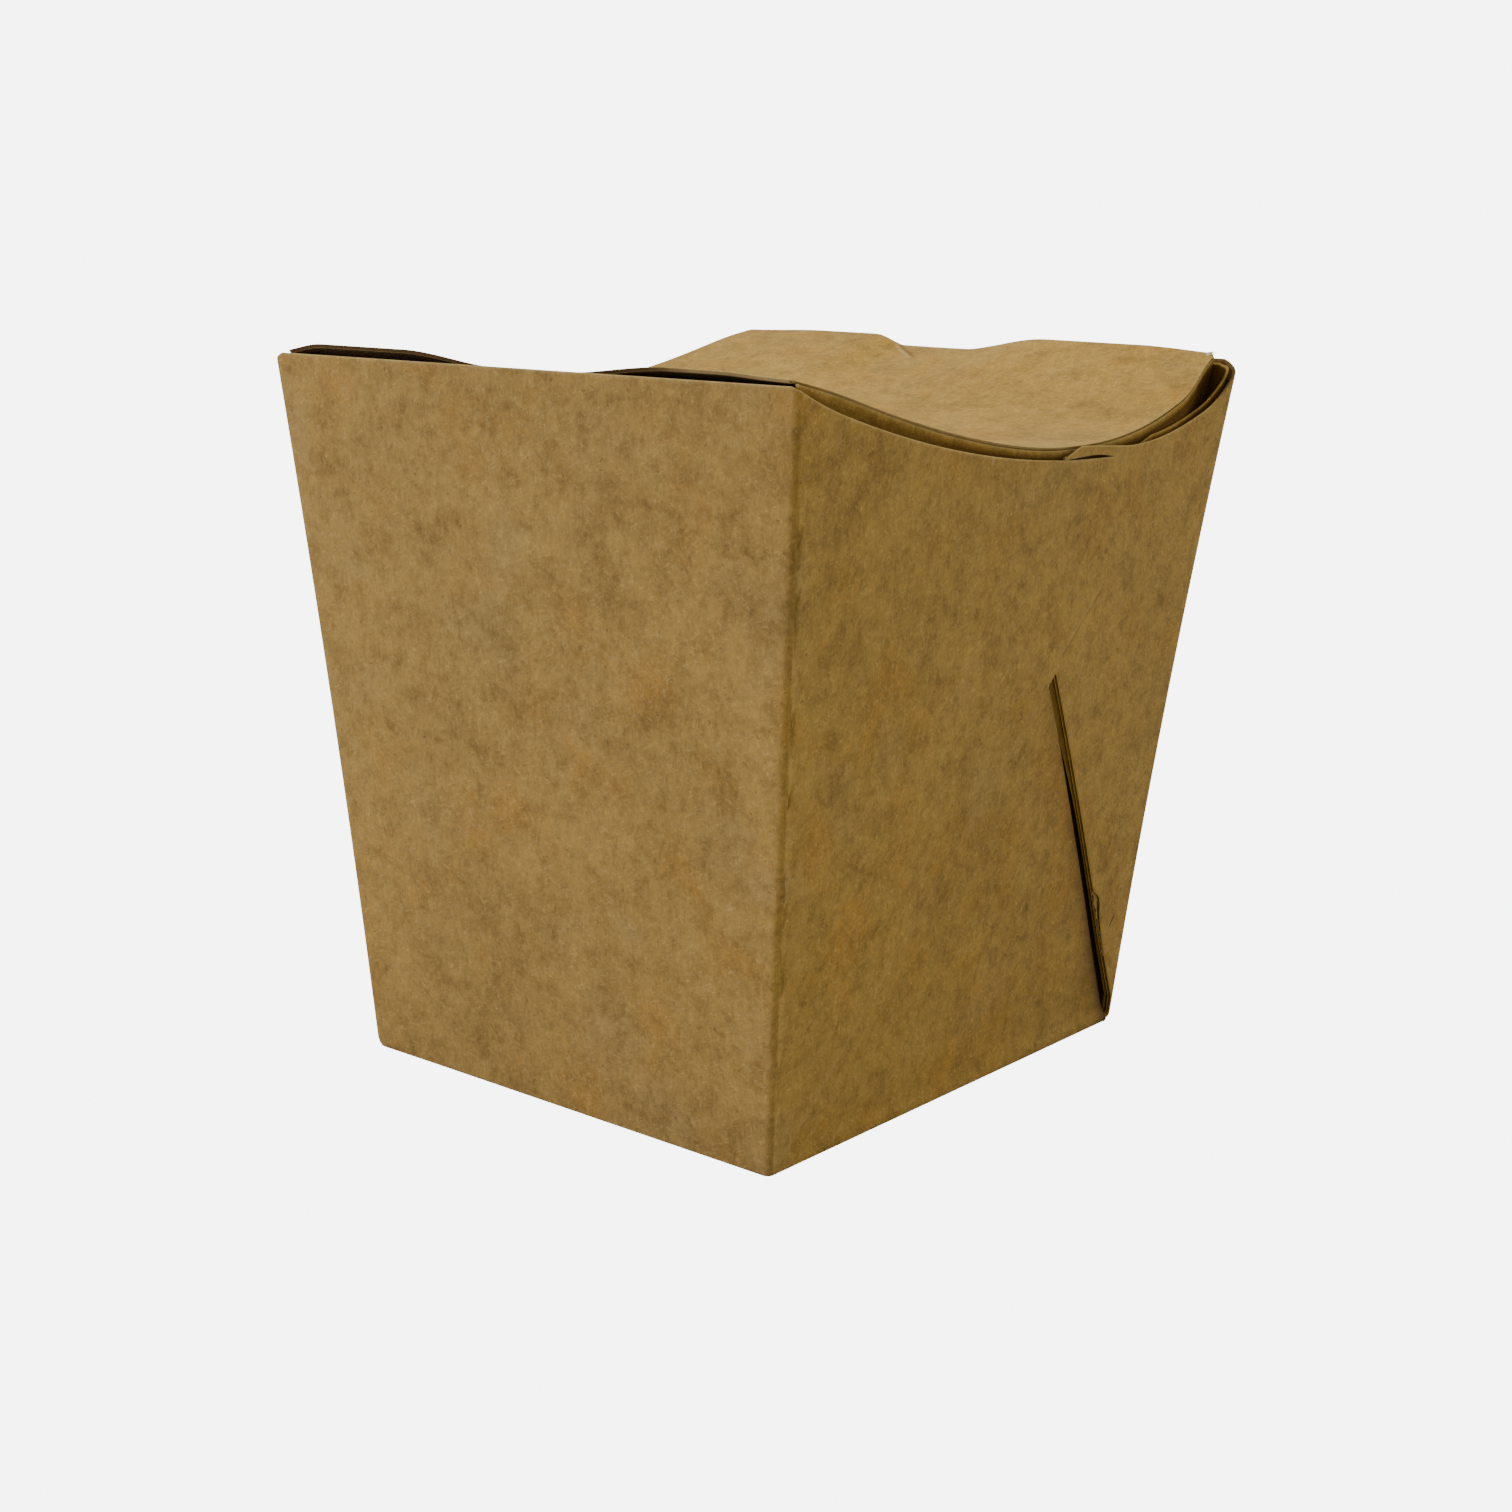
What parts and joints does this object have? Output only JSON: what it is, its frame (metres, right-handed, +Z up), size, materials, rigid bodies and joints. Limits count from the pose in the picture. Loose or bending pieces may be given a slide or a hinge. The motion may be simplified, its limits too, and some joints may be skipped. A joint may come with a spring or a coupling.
{
  "type": "noodle takeaway box",
  "caption": "Shut folded carton for noodles, with tapered walls, gusseted sides with dipped rims and a saddle-shaped lid.",
  "frame": {"origin": "middle of the face that the carton stands on", "axes": "+Z up, X across the plain front and back walls, Y across the gusseted walls with the dipped rims; the plain front wall faces -Y and a gusseted wall faces +X"},
  "size_m": [0.093, 0.1056, 0.1029],
  "materials": {
    "kraft_board": "matt uncoated kraft"
  },
  "bodies": {
    "root": {"folded_carton": "kraft_board"}
  },
  "joints": []
}
